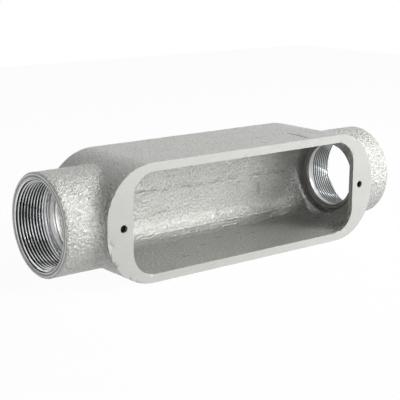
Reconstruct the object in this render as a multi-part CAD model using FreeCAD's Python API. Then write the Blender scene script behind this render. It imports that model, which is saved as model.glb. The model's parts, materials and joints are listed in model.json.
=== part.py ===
import FreeCAD, Part
import math
import os

# Conduit body, straight-through (type C) pattern: one malleable iron casting.
# Frame: +X along the conduit run, +Y into the body behind the gasket face, +Z up.
# The origin is the middle of the two cover screws, on the ground gasket face.
# The body lies on its lower long side.  All lengths are in millimetres.

V = FreeCAD.Vector
X_AXIS = V(1, 0, 0)
Y_AXIS = V(0, 1, 0)

# trough
FLANGE_LENGTH = 238.0          # gasket face, end to end
FLANGE_WIDTH = 79.2            # gasket face, across
END_FLAT = 7.2                 # straight part of each nearly half-round end
REAR_EDGE_R = 4.0              # rounding round the back of the trough
REAR_PROUD = 0.3               # back of the trough stands behind the hubs by this
LONG_WALL = 5.75               # long sides
END_WALL = 4.5                 # rounded ends, behind the lip
REAR_WALL = 4.9                # back
CAVITY_FILLET_R = 14.0         # inside, round the back

# opening in the gasket face
END_LIP = 19.75                # gasket face, from each end to the opening
OPENING_CORNER_R = 17.0
LIP_DEPTH = 4.0                # thickness of the gasket lip over the ends of the chamber

# hubs, 2-inch taper pipe thread
HUB_PROJECTION = 25.5          # hub face past the end of the gasket face
HUB_WALL = 6.2                 # outside the thread, at the hub face
HUB_AXIS_DEPTH = 40.2          # hub axis behind the gasket face
HUB_ROOT_R = 7.0               # casting fillet, hub to end wall
HUB_EDGE = 0.9                 # chamfer round the outer edge of the hub face
THREAD_ENTRY_R = 28.3          # crest radius of the thread at the hub face
THREAD_DEPTH_AXIAL = 23.5      # hub face to the conduit stop
THREAD_TAPER = 1.0 / 16.0      # on diameter
ENTRY_CHAMFER = 1.9            # countersink at the hub face

# integral bushing between each hub and the chamber
THROAT_R = 23.85
THROAT_EDGE_R = 1.4            # both edges of the throat are eased by this for the wires
BUSHING_THICKNESS = 7.0        # conduit stop to the tip of the bushing
BEAD_HEIGHT = 1.8              # bushing tip above the floor of its recess
BEAD_WIDTH = 3.4               # width of the raised ring round the throat
CROWN_STEPS = 4                # flats that make up its rounded crown
RECESS_GROOVE = 2.25           # between the bead and the wall of its cored pocket

# cover screws, 1/4 inch
SCREW_INSET = 12.5             # from each end of the gasket face
SCREW_HOLE_R = 2.55
SCREW_HOLE_DEPTH = 9.0
LUG_HALF_WIDTH = 8.0
LUG_REACH = 12.3               # lug depth where it meets the end wall

# derived
HUB_R = THREAD_ENTRY_R + HUB_WALL
HALF_RUN = FLANGE_LENGTH / 2 + HUB_PROJECTION
SCREW_SPACING = FLANGE_LENGTH - 2 * SCREW_INSET
END_CORNER_R = (FLANGE_WIDTH - END_FLAT) / 2
BODY_DEPTH = HUB_AXIS_DEPTH + HUB_R + REAR_PROUD
OPENING_LENGTH = FLANGE_LENGTH - 2 * END_LIP
OPENING_WIDTH = FLANGE_WIDTH - 2 * LONG_WALL
CHAMBER_LENGTH = FLANGE_LENGTH - 2 * END_WALL
CHAMBER_CORNER_R = END_CORNER_R - LONG_WALL
STOP_X = HALF_RUN - THREAD_DEPTH_AXIAL
THREAD_LENGTH = THREAD_DEPTH_AXIAL - ENTRY_CHAMFER
THREAD_WALL_R = THREAD_ENTRY_R - THREAD_LENGTH * THREAD_TAPER / 4  # crest radius half way in
BUSHING_TIP_X = STOP_X - BUSHING_THICKNESS
RECESS_FLOOR_X = BUSHING_TIP_X + BEAD_HEIGHT
RECESS_R = THROAT_R + BEAD_WIDTH + RECESS_GROOVE
CLEAR = 1.0                    # overshoot of a cutting tool past a face


def rounded_rectangle(length, width, corner_r, y):
    """Face in the plane at depth y, long side along X."""
    a = length / 2
    b = width / 2
    r = corner_r
    k = r * (1 - math.sqrt(0.5))
    edges = []
    corners = [(1, 1), (-1, 1), (-1, -1), (1, -1)]
    for i, (sx, sz) in enumerate(corners):
        on_side = V(sx * a, y, sz * (b - r))
        on_edge = V(sx * (a - r), y, sz * b)
        middle = V(sx * (a - k), y, sz * (b - k))
        start, end = (on_side, on_edge) if i % 2 == 0 else (on_edge, on_side)
        if edges:
            edges.append(Part.LineSegment(edges[-1].valueAt(edges[-1].LastParameter), start).toShape())
        edges.append(Part.Arc(start, middle, end).toShape())
    first = edges[0].valueAt(edges[0].FirstParameter)
    last = edges[-1].valueAt(edges[-1].LastParameter)
    edges.append(Part.LineSegment(last, first).toShape())
    return Part.Face(Part.Wire(edges))


def edges_at_depth(shape, y):
    """Edges that lie wholly in the plane at depth y."""
    found = []
    for edge in shape.Edges:
        box = edge.BoundBox
        if abs(box.YMin - y) < 1e-4 and abs(box.YMax - y) < 1e-4:
            found.append(edge)
    return found


def trough_block():
    face = rounded_rectangle(FLANGE_LENGTH, FLANGE_WIDTH, END_CORNER_R, 0)
    # drawn deep, so that the fillets at the hub roots run out through the back
    return face.extrude(V(0, 2 * BODY_DEPTH, 0))


def hub_blank(side):
    root_x = FLANGE_LENGTH / 2 - END_CORNER_R
    length = HALF_RUN - root_x
    hub = Part.makeCylinder(HUB_R, length, V(side * root_x, HUB_AXIS_DEPTH, 0), X_AXIS * side)
    rim = [e for e in hub.Edges if abs(e.BoundBox.XMin - side * HALF_RUN) < 1e-4
           and abs(e.BoundBox.XMax - side * HALF_RUN) < 1e-4]
    return hub.makeChamfer(HUB_EDGE, rim)


def is_hub_root(edge):
    """The seams where a hub cylinder leaves the end wall."""
    box = edge.BoundBox
    if box.XMin < 0 < box.XMax:
        return False
    for p in edge.discretize(9):
        radius = math.hypot(p.y - HUB_AXIS_DEPTH, p.z)
        if abs(radius - HUB_R) > 1e-3:
            return False
        if abs(p.x) > FLANGE_LENGTH / 2 + 1e-3:
            return False
    return True


def outer_casting():
    solid = trough_block()
    for side in (-1, 1):
        solid = solid.fuse(hub_blank(side))
    solid = solid.removeSplitter()
    roots = [e for e in solid.Edges if is_hub_root(e)]
    solid = solid.makeFillet(HUB_ROOT_R, roots)
    reach = 2 * HALF_RUN + 2 * CLEAR
    back = Part.makeBox(reach, 3 * BODY_DEPTH, reach, V(-reach / 2, BODY_DEPTH, -reach / 2))
    solid = solid.cut(back)
    return solid.makeFillet(REAR_EDGE_R, edges_at_depth(solid, BODY_DEPTH))


def chamber():
    """Space inside the trough, behind the gasket lip."""
    y = LIP_DEPTH
    face = rounded_rectangle(CHAMBER_LENGTH, OPENING_WIDTH, CHAMBER_CORNER_R, y)
    depth = BODY_DEPTH - REAR_WALL
    core = face.extrude(V(0, depth - y, 0))
    return core.makeFillet(CAVITY_FILLET_R, edges_at_depth(core, depth))


def opening():
    face = rounded_rectangle(OPENING_LENGTH, OPENING_WIDTH, OPENING_CORNER_R, -CLEAR)
    return face.extrude(V(0, CLEAR + LIP_DEPTH + CAVITY_FILLET_R, 0))


def screw_lug(side):
    """Wedge of metal under the lip that carries a cover screw."""
    inner = OPENING_LENGTH / 2
    wall = FLANGE_LENGTH / 2 - END_WALL
    buried = wall + END_WALL / 2
    top = LIP_DEPTH / 2
    foot = LIP_DEPTH + LUG_REACH
    points = [(inner, top), (inner, LIP_DEPTH), (wall, foot), (buried, foot), (buried, top)]
    corners = [V(side * x, y, -LUG_HALF_WIDTH) for x, y in points]
    wire = Part.makePolygon(corners + corners[:1])
    return Part.Face(wire).extrude(V(0, 0, 2 * LUG_HALF_WIDTH))


def recess(side):
    """Cored pocket from the chamber to the floor round the bushing."""
    start = FLANGE_LENGTH / 2 - END_CORNER_R
    return Part.makeCylinder(RECESS_R, RECESS_FLOOR_X - start, V(side * start, HUB_AXIS_DEPTH, 0), X_AXIS * side)


def turned(side, profile):
    """Solid turned about the hub axis from (x, radius) corners."""
    corners = [V(side * x, HUB_AXIS_DEPTH + r, 0) for x, r in profile]
    wire = Part.makePolygon(corners + corners[:1])
    return Part.Face(wire).revolve(V(0, HUB_AXIS_DEPTH, 0), X_AXIS, 360)


def bushing_bead(side):
    """Raised ring round the throat, on the chamber side, with a half-round crown."""
    half = BEAD_WIDTH / 2
    base = RECESS_FLOOR_X + CLEAR
    profile = [(base, THROAT_R)]
    for step in range(CROWN_STEPS + 1):
        angle = math.pi * step / CROWN_STEPS
        x = BUSHING_TIP_X + THROAT_EDGE_R * (1 - math.sin(angle))
        profile.append((x, THROAT_R + half * (1 - math.cos(angle))))
    profile.append((base, THROAT_R + BEAD_WIDTH))
    return turned(side, profile)


def hub_bore(side):
    """Hole for the conduit, its countersink, and the throat beyond it."""
    mouth_r = THREAD_ENTRY_R + ENTRY_CHAMFER
    e = THROAT_EDGE_R
    profile = [
        (RECESS_FLOOR_X - CLEAR, 0),
        (RECESS_FLOOR_X - CLEAR, THROAT_R),
        (STOP_X - e, THROAT_R),
        (STOP_X, THROAT_R + e),
        (STOP_X, THREAD_WALL_R),
        (HALF_RUN - ENTRY_CHAMFER, THREAD_WALL_R),
        (HALF_RUN, mouth_r),
        (HALF_RUN + CLEAR, mouth_r),
        (HALF_RUN + CLEAR, 0),
    ]
    return turned(side, profile)


def screw_hole(side):
    hole = Part.makeCylinder(SCREW_HOLE_R, SCREW_HOLE_DEPTH + CLEAR, V(side * SCREW_SPACING / 2, -CLEAR, 0), Y_AXIS)
    return hole


def conduit_body():
    solid = outer_casting()
    solid = solid.cut(chamber())
    solid = solid.cut(opening())
    for side in (-1, 1):
        solid = solid.cut(recess(side))
        solid = solid.fuse(screw_lug(side))
        solid = solid.cut(hub_bore(side))
        solid = solid.fuse(bushing_bead(side))
        solid = solid.cut(screw_hole(side))
    return solid.removeSplitter()


os.makedirs("parts", exist_ok=True)
body = conduit_body()
body.exportStep("parts/conduit_body.step")
print("solids", len(body.Solids), "volume", round(body.Volume), "valid", body.isValid(), body.BoundBox)
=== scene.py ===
import json
import math

import bpy
import bmesh
from mathutils import Euler, Matrix, Vector, noise
from mathutils.geometry import intersect_point_line


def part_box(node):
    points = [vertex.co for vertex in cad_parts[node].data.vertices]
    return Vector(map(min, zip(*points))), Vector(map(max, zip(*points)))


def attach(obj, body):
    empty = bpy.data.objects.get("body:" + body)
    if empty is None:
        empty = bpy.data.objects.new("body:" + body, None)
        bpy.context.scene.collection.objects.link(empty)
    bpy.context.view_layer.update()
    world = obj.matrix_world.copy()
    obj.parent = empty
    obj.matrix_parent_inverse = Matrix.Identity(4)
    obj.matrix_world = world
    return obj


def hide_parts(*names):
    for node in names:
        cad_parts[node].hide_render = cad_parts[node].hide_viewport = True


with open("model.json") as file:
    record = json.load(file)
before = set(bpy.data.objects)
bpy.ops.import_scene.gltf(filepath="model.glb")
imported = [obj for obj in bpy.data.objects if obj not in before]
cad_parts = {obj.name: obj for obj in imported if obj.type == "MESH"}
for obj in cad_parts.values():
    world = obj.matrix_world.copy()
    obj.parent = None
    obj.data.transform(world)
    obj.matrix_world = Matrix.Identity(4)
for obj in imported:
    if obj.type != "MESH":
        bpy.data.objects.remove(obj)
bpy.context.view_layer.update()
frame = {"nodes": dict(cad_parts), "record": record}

MM = 0.001
NODE = "conduit_body"

# ---- places, from the frame ---------------------------------------------------------------
low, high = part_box(NODE)
HALF_RUN = high.x
mounts = {m["name"]: m for m in frame["record"]["mounts"]}
hub = mounts["hub_right"]
THREAD_MIDDLE_X = hub["pos_m"][0]
AXIS_Y = hub["pos_m"][1]
WALL_R = hub["dims"]["r_mm"] * MM
THREAD_LENGTH = hub["dims"]["length_mm"] * MM
STOP_X = THREAD_MIDDLE_X - THREAD_LENGTH / 2   # where the conduit stops

# ---- places on the casting, beside those in the frame ---------------------------------------
SCREW_X = 106.5 * MM
SCREW_R = 2.55 * MM
SCREW_TOP_Y = 0.2 * MM          # the screw hole's wall has painted shade between these two depths
SCREW_FLOOR_Y = 9.2 * MM
SCREW_SLACK = 0.2 * MM
MOUTH_R = WALL_R + 2.3 * MM     # just outside the countersink
BUSHING_X = STOP_X - 7.3 * MM
BEAD_R = 27.4 * MM
HUB_ROOT_X = 92 * MM
REAR_Y = 70.1 * MM              # inside face of the rear wall
TOP_Z = high.z
LIP_Z = 33.85 * MM
# The round corner between the rear wall and the walls beside it, in mm as the marks are.
CORNER_R = 14
CORNER_Y = 56.1
CORNER_Z = 19.85

# ---- mesh ------------------------------------------------------------------------------------
CELL = 2.9 * MM                 # grid that the casting is cut up on
WELD = 1e-6
FLAT_ANGLE = math.radians(0.3)  # faces closer than this in angle are joined before the cut
EDGE_ANGLE = math.radians(34)   # steeper edges stay sharp
SMOOTH_TURNS = 4
RIM_BAND = 5 * MM               # the rim keeps its shape this far from the gasket face
FACE_SLACK = 0.01 * MM          # nearer than this counts as on the gasket face or a hub's face
WALL_SLACK = 0.3 * MM           # the same for the thread's plain wall
RING_SLACK = 1e-5

# ---- thread ------------------------------------------------------------------------------------
PITCH = 25.4 / 11.5 * MM
TAPER = 1 / 16                  # on diameter
THREAD_HEIGHT = 0.8 * PITCH
FLAT_SHARE = 0.06               # flat at the crest, as a share of half a pitch, and again at the root
FLANK_SHARE = 0.88              # what is left for the flank, which leans 29 degrees from upright
RUN_OUT_TURNS = 2.6             # the last turns are shallow, as a tap's lead leaves them
MOUTH_GAP = 0.1 * MM
AROUND = 168                    # points round each thread
ROWS_PER_PITCH = 8

# ---- cast skin and its marks -------------------------------------------------------------------
CAST_ROUGHNESS = 0.16 * MM      # scale of how far the as-cast skin wanders
BROAD_SIZE = 14 * MM
CLOSE_SIZE = 5.5 * MM
BROAD_SHARE = 0.5
CLOSE_SHARE = 0.7
COARSE_RAMP = 12 * MM           # the grain grows coarser over this length, outward from a hub's root
MARK_REACH = 1.8 * MM           # the skin is cut finer this near to a mark
MARK_CUTS = 3
MARK_MARGIN = 4 * MM            # only places this near to the box round a mark are looked at
MARK_SIDE = 1.6                 # how soon a mark reaches its full depth
WANDER_SIZE = 7 * MM            # a wandering mark turns over about this length
BREAK_SIZE = 4 * MM             # and grows faint over about this one
BREAK_MEAN = 0.75
BREAK_SWING = 1.4
BREAK_LEAST = 0.2
PAINTED_SHADE_LEFT = 0.04              # share of its own brightness left where the painted shade is full

# ---- finishes --------------------------------------------------------------------------------
CAST, GROUND, THREAD, TURNED = range(4)   # material slots of the casting
LACQUER = (0.42, 0.423, 0.4)
LACQUER_GRAIN = 1.9 * MM
GROUND_GREY = (0.37, 0.375, 0.355)
GROUND_GRAIN = 1.2 * MM
THREAD_CREST = (0.86, 0.88, 0.89)
# The roots of the thread are painted this dark, as painted shade.
THREAD_ROOT_SHADE = (0.015, 0.015, 0.015)
THREAD_GRAIN = 0.8 * MM
TURNED_GREY = (0.62, 0.62, 0.6)
TURNED_RINGS = 1.4 * MM
CLOUDS = 60                     # cloudy patches to a metre

# ---- stage -----------------------------------------------------------------------------------
FLOOR_SIZE = 2.4
FLOOR_WHITE = 0.96              # share of plain white laid over the floor's own shade
ROOM_LIGHT = 0.07
LIGHT_DISTANCE = 1.25

# ---- camera ----------------------------------------------------------------------------------
CAMERA_PLACE = (-0.47696, -0.54036, 0.17249)
CAMERA_AZIMUTH = math.radians(-38.60)
CAMERA_ELEVATION = math.radians(13.23)
CAMERA_ROLL = math.radians(0.1)
LENS = 97.13


# ---- mesh helpers ----------------------------------------------------------------------------
def cut_on_grid(bm, cell):
    """Cuts every face on three sets of planes, so that no face is larger than a cell."""
    for axis in range(3):
        places = [v.co[axis] for v in bm.verts]
        lowest, highest = min(places), max(places)
        count = int((highest - lowest) / cell)
        normal = Vector([float(i == axis) for i in range(3)])
        for i in range(1, count):
            level = lowest + (highest - lowest) * i / count
            everything = bm.verts[:] + bm.edges[:] + bm.faces[:]
            bmesh.ops.bisect_plane(bm, geom=everything, dist=WELD, plane_co=normal * level, plane_no=normal)


def new_object(name, mesh):
    obj = bpy.data.objects.new(name, mesh)
    bpy.context.scene.collection.objects.link(obj)
    return obj


# ---- threads -----------------------------------------------------------------------------------
def thread_depth(x, angle, side):
    """How deep the right-handed thread is at x and angle: 0 at its crest, 1 at its root.

    x is measured outward from the middle of the casting, and the angle turns from +Y to +Z.
    """
    turn = x / PITCH - side * angle / (2 * math.pi)
    phase = abs((turn % 1.0) * 2 - 1)
    return min(max((phase - FLAT_SHARE) / FLANK_SHARE, 0), 1)


def zip_loops(bm, first, second, flip):
    """Skins the space between two rings of vertices about the hub axis."""
    def angle(v):
        return math.atan2(v.co.z, v.co.y - AXIS_Y)
    a = sorted(first, key=angle)
    b = sorted(second, key=angle)
    turn = 2 * math.pi
    i = j = 0
    while i < len(a) or j < len(b):
        next_a = angle(a[(i + 1) % len(a)]) + turn * ((i + 1) // len(a))
        next_b = angle(b[(j + 1) % len(b)]) + turn * ((j + 1) // len(b))
        if j >= len(b) or (i < len(a) and next_a < next_b):
            corners = [a[i % len(a)], a[(i + 1) % len(a)], b[j % len(b)]]
            i += 1
        else:
            corners = [a[i % len(a)], b[(j + 1) % len(b)], b[j % len(b)]]
            j += 1
        if flip:
            corners.reverse()
        bm.faces.new(corners)


def open_bore(bm, side):
    """Takes out the plain wall and the countersink of one hub."""
    def in_bore(face):
        centre = face.calc_center_median()
        flat_end = abs(face.normal.x) > 0.99
        return STOP_X < centre.x * side < HALF_RUN and radius(centre) < MOUTH_R and not flat_end \
            and radius(centre) > WALL_R - WALL_SLACK
    bmesh.ops.delete(bm, geom=[f for f in bm.faces if in_bore(f)], context="FACES")


def cut_thread(bm, side):
    """Skins a real thread in place of the plain wall of one hub."""
    groove = bm.verts.layers.float.get("groove") or bm.verts.layers.float.new("groove")
    edge_verts = {v for e in bm.edges if e.is_boundary for v in e.verts}
    stop_ring = [v for v in edge_verts if abs(v.co.x * side - STOP_X) < RING_SLACK]
    mouth_ring = [v for v in edge_verts if abs(v.co.x * side - HALF_RUN) < RING_SLACK]
    rows = int((HALF_RUN - STOP_X) / PITCH * ROWS_PER_PITCH)
    rings = []
    for row in range(rows + 1):
        x = STOP_X + MOUTH_GAP + (HALF_RUN - STOP_X - 2 * MOUTH_GAP) * row / rows
        countersink = MOUTH_R - (HALF_RUN - x)
        run_out = min((x - STOP_X) / (RUN_OUT_TURNS * PITCH), 1)
        ring = []
        for k in range(AROUND):
            angle = 2 * math.pi * k / AROUND - math.pi
            crest = WALL_R + (x - THREAD_MIDDLE_X) * TAPER / 2
            depth = thread_depth(x, angle, side) * run_out
            r = max(crest + depth * THREAD_HEIGHT, countersink)
            vertex = bm.verts.new((side * x, AXIS_Y + r * math.cos(angle), r * math.sin(angle)))
            vertex[groove] = depth if r > countersink else 0
            ring.append(vertex)
        rings.append(ring)
    faces_before = set(bm.faces)
    for lower, upper in zip(rings, rings[1:]):
        for k in range(AROUND):
            n = (k + 1) % AROUND
            corners = [lower[k], lower[n], upper[n], upper[k]]
            if side < 0:
                corners.reverse()
            bm.faces.new(corners)
    zip_loops(bm, stop_ring, rings[0], side < 0)
    zip_loops(bm, rings[-1], mouth_ring, side < 0)
    for face in set(bm.faces) - faces_before:
        face.material_index = THREAD


# ---- the casting ---------------------------------------------------------------------------------
def radius(place):
    return math.hypot(place.y - AXIS_Y, place.z)


def is_turned(place):
    """Inside the bushing, or on the face of a hub: places that a lathe tool has been over."""
    on_hub_face = abs(place.x) > HALF_RUN - FACE_SLACK
    return on_hub_face or (abs(place.x) > BUSHING_X and radius(place) < BEAD_R)


def in_screw_hole(place):
    off_axis = math.hypot(abs(place.x) - SCREW_X, place.z)
    return SCREW_TOP_Y < place.y < SCREW_FLOOR_Y and off_axis < SCREW_R + SCREW_SLACK


def smooth_facets(bm):
    """Turns the flats left by the tessellation back into round surfaces, and keeps the edges."""
    def on_edge(v):
        return any(e.calc_face_angle(0) > EDGE_ANGLE for e in v.link_edges)
    free = [v for v in bm.verts if not on_edge(v) and not is_turned(v.co) and v.co.y > RIM_BAND]
    for _ in range(SMOOTH_TURNS):
        bmesh.ops.smooth_vert(bm, verts=free, factor=0.5, use_axis_x=True, use_axis_y=True, use_axis_z=True)


def name_finishes(bm):
    for face in bm.faces:
        centre = face.calc_center_median()
        if face.material_index == THREAD:
            continue
        if centre.y < FACE_SLACK:
            face.material_index = GROUND
        elif is_turned(centre):
            face.material_index = TURNED


def roughen(bm):
    """The as-cast skin wanders in and out. It only ever moves inwards, so the sizes hold."""
    moves = []
    for v in bm.verts:
        if any(f.material_index != CAST for f in v.link_faces):
            continue
        broad = noise.noise(v.co / BROAD_SIZE)
        close = noise.noise(v.co / CLOSE_SIZE + Vector((7, 3, 1)))
        wander = BROAD_SHARE * broad + CLOSE_SHARE * close - 1
        moves.append((v, v.normal * CAST_ROUGHNESS * wander))
    for v, move in moves:
        v.co += move


def off_line(place, points, wobble):
    """Distance from a place to a line through the points, which wanders sideways by the wobble."""
    wander = noise.noise(Vector((place.x / WANDER_SIZE, points[0].z / MM, 0)))
    place = place + wander * wobble
    nearest = 1.0
    for start, end in zip(points, points[1:]):
        spot, share = intersect_point_line(place, start, end)
        spot = start.lerp(end, min(max(share, 0), 1))
        nearest = min(nearest, (place - spot).length)
    return nearest


def mark(bm, places, width, depth, painted_dark=0.5, wobble=(0, 0, 0)):
    """Presses a line into the skin, as wide each way and as deep as given, all in mm, with painted shade in
    it as dark as painted_dark says.

    A negative depth raises it. One with a wobble wanders sideways by it, and is faint in places.
    """
    points = [Vector(place) * MM for place in places]
    wobble = Vector(wobble) * MM
    lowest = [min(p[i] for p in points) - MARK_MARGIN for i in range(3)]
    highest = [max(p[i] for p in points) + MARK_MARGIN for i in range(3)]

    def is_near(place):
        return all(lowest[i] < place[i] < highest[i] for i in range(3))
    near = [f for f in bm.faces if is_near(f.calc_center_median())]
    near = [f for f in near if off_line(f.calc_center_median(), points, wobble) < MARK_REACH]
    edges = {e for f in near for e in f.edges}
    bmesh.ops.subdivide_edges(bm, edges=list(edges), cuts=MARK_CUTS, use_grid_fill=True)
    bm.normal_update()
    painted_shade = bm.verts.layers.float.get("painted_shade")
    moves = []
    for v in bm.verts:
        if is_near(v.co):
            share = 1 - off_line(v.co, points, wobble) / (width * MM)
            if share > 0:
                share = min(share * MARK_SIDE, 1)
                if any(wobble):
                    strength = BREAK_MEAN + BREAK_SWING * noise.noise(v.co / BREAK_SIZE)
                    share *= min(max(strength, BREAK_LEAST), 1)
                moves.append((v, v.normal * share * depth * MM))
                # Painted shade in the pressed line.
                v[painted_shade] = max(v[painted_shade], share * painted_dark)
    for v, move in moves:
        v.co -= move


def wear(bm):
    """Seams of the mould, pits and knocks that this casting has."""
    rear, top, lip = REAR_Y / MM, TOP_Z / MM, LIP_Z / MM
    # Most of these marks also get painted shade, as dark as their fifth value says.
    mould_line = [(-98, rear, 2.6), (-49, rear, 2), (-4, rear, 0.7), (60, rear, 0.7), (97, rear, 0)]
    mark(bm, mould_line, 0.7, 0.35, 0.5, (0, 0, 1.6))
    mark(bm, [(-50, rear, -17.8), (-27, rear, -15.4), (1, rear, -14.3)], 0.6, 0.25, 0.4, (0, 0, 1.2))
    mark(bm, [(69, rear, -6), (69, rear, -15)], 0.7, 0.3)
    # This one lies too far off the wall to move it: it only cuts the skin finer there.
    mark(bm, [(99.5, rear - 1, 8), (99.5, rear - 1, -16)], 0.7, 0.3)
    for drop, width, depth, painted_dark in ((29.4, 0.9, 0.5, 0.3), (32.4, 0.9, 0.5, 0.5)):
        back = CORNER_Y + math.sqrt(CORNER_R ** 2 - (drop - CORNER_Z) ** 2)
        mark(bm, [(-98, back, -drop), (95, back, -drop)], width, depth, painted_dark, (0, -1.3, 1.3))
    mark(bm, [(94.7, 66.4, -22.7), (86.5, 67.6, -27.8), (75.3, 63.9, -31.5)], 1.5, -0.5, 0)
    mark(bm, [(7.5, 44.9, -lip), (8.5, 44.9, -lip)], 1.1, 0.5)
    mark(bm, [(92.7, 0, -32.3), (96.9, 3, -33.8)], 1.0, 0.5)
    mark(bm, [(-117.9, 0, -7.6), (-114.9, 0, -10.1)], 0.9, 0.5)
    mark(bm, [(-5.9, 0, lip), (-5.9, 0, lip + 0.8)], 0.9, 0.5)
    mark(bm, [(59.9, 29.1, top), (59.2, 18.8, top), (57.5, 6.7, top)], 1.0, 0.5, 0.9)
    mark(bm, [(-16.2, 31.4, top), (54.1, 28.2, top)], 0.5, 0.15, 0.25)


def build_casting():
    mesh = frame["nodes"][NODE].data.copy()
    mesh.materials.clear()
    bm = bmesh.new()
    bm.from_mesh(mesh)
    coarse = bm.verts.layers.float.new("coarse")
    painted_shade = bm.verts.layers.float.new("painted_shade")
    bmesh.ops.remove_doubles(bm, verts=bm.verts, dist=WELD)
    bmesh.ops.dissolve_limit(bm, angle_limit=FLAT_ANGLE, verts=bm.verts, edges=bm.edges)
    for side in (-1, 1):
        open_bore(bm, side)
    cut_on_grid(bm, CELL)
    bm.normal_update()
    smooth_facets(bm)
    for side in (-1, 1):
        cut_thread(bm, side)
    bm.normal_update()
    name_finishes(bm)
    roughen(bm)
    wear(bm)
    for v in bm.verts:
        v[coarse] = min(max((abs(v.co.x) - HUB_ROOT_X) / COARSE_RAMP, 0), 1)
        # Painted shade, full, on the screw hole's wall.
        if in_screw_hole(v.co):
            v[painted_shade] = 1
    bm.to_mesh(mesh)
    bm.free()
    mesh.shade_smooth()
    mesh.set_sharp_from_angle(angle=EDGE_ANGLE)
    return new_object("casting_skin", mesh)


# ---- materials ---------------------------------------------------------------------------------
def node_material(name):
    material = bpy.data.materials.new(name)
    material.use_nodes = True
    tree = material.node_tree
    shader = tree.nodes["Principled BSDF"]
    return material, tree, shader


def add(tree, kind, **values):
    node = tree.nodes.new(kind)
    for key, value in values.items():
        if hasattr(node, key):
            setattr(node, key, value)
        else:
            node.inputs[key.replace("_", " ")].default_value = value
    return node


def noise_at(tree, scale, detail=3.0):
    place = add(tree, "ShaderNodeTexCoord")
    node = add(tree, "ShaderNodeTexNoise", Scale=float(scale), Detail=detail, Roughness=0.6)
    tree.links.new(place.outputs["Object"], node.inputs["Vector"])
    return node.outputs["Fac"]


def ranged(tree, value, low_out, high_out, low_in=0.3, high_in=0.7):
    node = add(tree, "ShaderNodeMapRange")
    ends = {"From Min": low_in, "From Max": high_in, "To Min": low_out, "To Max": high_out}
    for key, number in ends.items():
        node.inputs[key].default_value = number
    tree.links.new(value, node.inputs["Value"])
    return node.outputs["Result"]


def blended(tree, factor, first, second):
    """Colour between first and second, by factor."""
    ramp = add(tree, "ShaderNodeValToRGB")
    ramp.color_ramp.elements[0].color = (*first, 1)
    ramp.color_ramp.elements[1].color = (*second, 1)
    tree.links.new(factor, ramp.inputs["Fac"])
    return ramp.outputs["Color"]


def shaded(colour, share):
    return [min(c * share, 1) for c in colour]


def rings_at(tree, size):
    """Rings about the hub axis, as a lathe tool leaves on a bore or on the face of a hub."""
    place = add(tree, "ShaderNodeTexCoord")
    offset = add(tree, "ShaderNodeVectorMath", operation="SUBTRACT")
    offset.inputs[1].default_value = (0, AXIS_Y, 0)
    tree.links.new(place.outputs["Object"], offset.inputs[0])
    flat = add(tree, "ShaderNodeVectorMath", operation="MULTIPLY")
    flat.inputs[1].default_value = (0, 1, 1)
    tree.links.new(offset.outputs["Vector"], flat.inputs[0])
    out = add(tree, "ShaderNodeVectorMath", operation="LENGTH")
    tree.links.new(flat.outputs["Vector"], out.inputs[0])
    along = add(tree, "ShaderNodeSeparateXYZ")
    tree.links.new(place.outputs["Object"], along.inputs["Vector"])
    total = add(tree, "ShaderNodeMath", operation="ADD")
    tree.links.new(out.outputs["Value"], total.inputs[0])
    tree.links.new(along.outputs["X"], total.inputs[1])
    node = add(tree, "ShaderNodeTexNoise", noise_dimensions="1D", Scale=1 / size, Detail=1.0)
    tree.links.new(total.outputs["Value"], node.inputs["W"])
    return node.outputs["Fac"]


def weighed(tree, first, share, second):
    """First times share, plus second."""
    node = add(tree, "ShaderNodeMath", operation="MULTIPLY_ADD")
    tree.links.new(first, node.inputs[0])
    node.inputs[1].default_value = share
    tree.links.new(second, node.inputs[2])
    return node.outputs["Value"]


def painted_over(tree, shader, factor, colour):
    """Lays a colour over the one that the shader has, by factor."""
    mix = add(tree, "ShaderNodeMix", data_type="RGBA")
    tree.links.new(factor, mix.inputs[0])
    tree.links.new(shader.inputs["Base Color"].links[0].from_socket, mix.inputs[6])
    mix.inputs[7].default_value = (*colour, 1)
    tree.links.new(mix.outputs[2], shader.inputs["Base Color"])


def metal(name, colour, roughness, metallic, relief, depth, mottle):
    """Grey metal, tinted by cloudy patches and by the relief, which also stands out by the depth given."""
    material, tree, shader = node_material(name)
    clouds = noise_at(tree, CLOUDS, 5.0)
    fine = relief(tree)
    relief_shade = ranged(tree, fine, 0, 1, 0.36, 0.64)
    shade = weighed(tree, relief_shade, 0.75, ranged(tree, clouds, 0, 0.25))
    tint = blended(tree, shade, shaded(colour, 1 - mottle), shaded(colour, 1 + mottle))
    tree.links.new(tint, shader.inputs["Base Color"])
    tree.links.new(ranged(tree, clouds, roughness * 0.85, roughness * 1.15), shader.inputs["Roughness"])
    shader.inputs["Metallic"].default_value = metallic
    bump = add(tree, "ShaderNodeBump", Distance=depth)
    tree.links.new(fine, bump.inputs["Height"])
    tree.links.new(bump.outputs["Normal"], shader.inputs["Normal"])
    return material


def cast(name, colour):
    """The lacquered skin from the sand mould, coarser on the hubs than on the walls."""
    def grain(tree):
        return noise_at(tree, 1 / LACQUER_GRAIN)
    material = metal(name, colour, 0.31, 0.4, grain, 1.7 * MM, 0.24)
    tree = material.node_tree
    shader = tree.nodes["Principled BSDF"]
    # Painted shade in the pressed marks and down the screw hole.
    painted_shade = add(tree, "ShaderNodeAttribute", attribute_name="painted_shade")
    painted_over(tree, shader, painted_shade.outputs["Fac"], shaded(colour, PAINTED_SHADE_LEFT))
    coarse = add(tree, "ShaderNodeAttribute", attribute_name="coarse")
    strength = ranged(tree, coarse.outputs["Fac"], 0.7, 1.0, 0, 1)
    tree.links.new(strength, tree.nodes["Bump"].inputs["Strength"])
    return material


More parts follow.
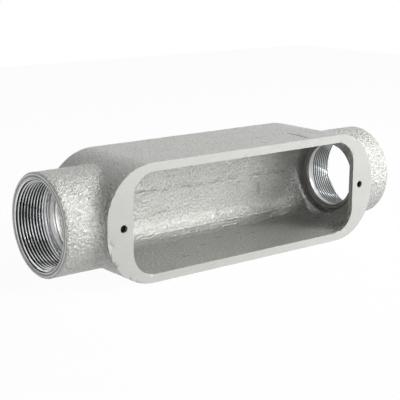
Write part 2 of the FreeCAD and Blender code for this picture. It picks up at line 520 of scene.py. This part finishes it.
def threaded(name, crest, root):
    """Bright cut flanks, with painted shade in the roots of the thread."""
    def grain(tree):
        return noise_at(tree, 1 / THREAD_GRAIN)
    material = metal(name, crest, 0.3, 0.85, grain, 0.02 * MM, 0.08)
    tree = material.node_tree
    shader = tree.nodes["Principled BSDF"]
    groove = add(tree, "ShaderNodeAttribute", attribute_name="groove")
    # Painted shade, darker towards the root of each groove.
    painted_over(tree, shader, ranged(tree, groove.outputs["Fac"], 0, 0.97, 0.1, 0.5), root)
    return material


def ground(name, colour):
    """The gasket face, flat and dull from the grinder."""
    def grain(tree):
        return noise_at(tree, 1 / GROUND_GRAIN)
    return metal(name, colour, 0.42, 0.1, grain, 0.1 * MM, 0.05)


def turned(name, colour):
    """Faces with the rings that a lathe tool leaves."""
    def rings(tree):
        return rings_at(tree, TURNED_RINGS)
    return metal(name, colour, 0.38, 0.5, rings, 1.2 * MM, 0.75)


# ---- stage -----------------------------------------------------------------------------------------
def seen_as_white(tree, surface, share):
    """Camera, mirror and see-through rays meet this share of plain white; other rays don't."""
    path = tree.nodes.new("ShaderNodeLightPath")
    either = tree.nodes.new("ShaderNodeMath")
    either.operation = "MAXIMUM"
    tree.links.new(path.outputs["Is Camera Ray"], either.inputs[0])
    tree.links.new(path.outputs["Is Glossy Ray"], either.inputs[1])
    any_of = tree.nodes.new("ShaderNodeMath")
    any_of.operation = "MAXIMUM"
    tree.links.new(either.outputs["Value"], any_of.inputs[0])
    tree.links.new(path.outputs["Is Transmission Ray"], any_of.inputs[1])
    amount = tree.nodes.new("ShaderNodeMath")
    amount.operation = "MULTIPLY"
    amount.inputs[1].default_value = share
    tree.links.new(any_of.outputs["Value"], amount.inputs[0])
    white = tree.nodes.new("ShaderNodeEmission" if share < 1 else "ShaderNodeBackground")
    white.inputs["Color"].default_value = (1, 1, 1, 1)
    white.inputs["Strength"].default_value = 1.0
    mix = tree.nodes.new("ShaderNodeMixShader")
    tree.links.new(amount.outputs["Value"], mix.inputs["Fac"])
    tree.links.new(surface, mix.inputs[1])
    tree.links.new(white.outputs[0], mix.inputs[2])
    return mix.outputs["Shader"]


def build_floor():
    half = FLOOR_SIZE / 2
    corners = [(-half, -half, low.z), (half, -half, low.z), (half, half, low.z), (-half, half, low.z)]
    mesh = bpy.data.meshes.new("floor")
    mesh.from_pydata(corners, [], [(0, 1, 2, 3)])
    floor = new_object("floor", mesh)
    material, tree, shader = node_material("floor_white")
    shader.inputs["Base Color"].default_value = (0.9, 0.9, 0.9, 1)
    shader.inputs["Roughness"].default_value = 1.0
    surface = seen_as_white(tree, shader.outputs["BSDF"], FLOOR_WHITE)
    tree.links.new(surface, tree.nodes["Material Output"].inputs["Surface"])
    mesh.materials.append(material)


def build_world():
    world = bpy.data.worlds.new("studio")
    bpy.context.scene.world = world
    world.use_nodes = True
    tree = world.node_tree
    background = tree.nodes["Background"]
    background.inputs["Color"].default_value = (1, 1, 1, 1)
    background.inputs["Strength"].default_value = ROOM_LIGHT
    surface = seen_as_white(tree, background.outputs["Background"], 1.0)
    tree.links.new(surface, tree.nodes["World Output"].inputs["Surface"])


def soft_box(name, azimuth, elevation, size, power):
    """A square soft box turned to the object. Azimuth 0 is in front of the opening and 90 is at +X."""
    light = bpy.data.lights.new(name, "AREA")
    light.shape = "SQUARE"
    light.size = size
    light.energy = power
    obj = bpy.data.objects.new(name, light)
    turn = Euler((math.radians(90 - elevation), 0, math.radians(azimuth)), "XYZ")
    obj.rotation_euler = turn
    obj.location = turn.to_matrix() @ Vector((0, 0, LIGHT_DISTANCE))
    bpy.context.scene.collection.objects.link(obj)


def build_camera():
    camera = bpy.data.cameras.new("camera")
    camera.lens = LENS
    camera.sensor_width = 36
    camera.clip_start = 0.01
    obj = bpy.data.objects.new("camera", camera)
    obj.location = CAMERA_PLACE
    turn = Euler((math.pi / 2 - CAMERA_ELEVATION, 0, CAMERA_AZIMUTH), "XYZ").to_matrix()
    obj.rotation_euler = (turn @ Matrix.Rotation(CAMERA_ROLL, 3, "Z")).to_euler()
    bpy.context.scene.collection.objects.link(obj)
    bpy.context.scene.camera = obj


# ---- everything together ----------------------------------------------------------------------------
casting = build_casting()
finishes = [
    cast("cast_lacquer", LACQUER),
    ground("ground_face", GROUND_GREY),
    threaded("cut_thread", THREAD_CREST, THREAD_ROOT_SHADE),
    turned("turned_face", TURNED_GREY),
]
for finish in finishes:
    casting.data.materials.append(finish)
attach(casting, "root")
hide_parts(NODE)

build_floor()
build_world()
soft_box("front_light", 20, 5, 0.7, 16)
soft_box("key_light", 46, 28, 0.45, 12.3)
soft_box("side_light", 70, 52, 0.65, 5)
soft_box("top_light", 162, 63, 0.7, 0.5)
build_camera()

scene = bpy.context.scene
scene.view_settings.view_transform = "Standard"
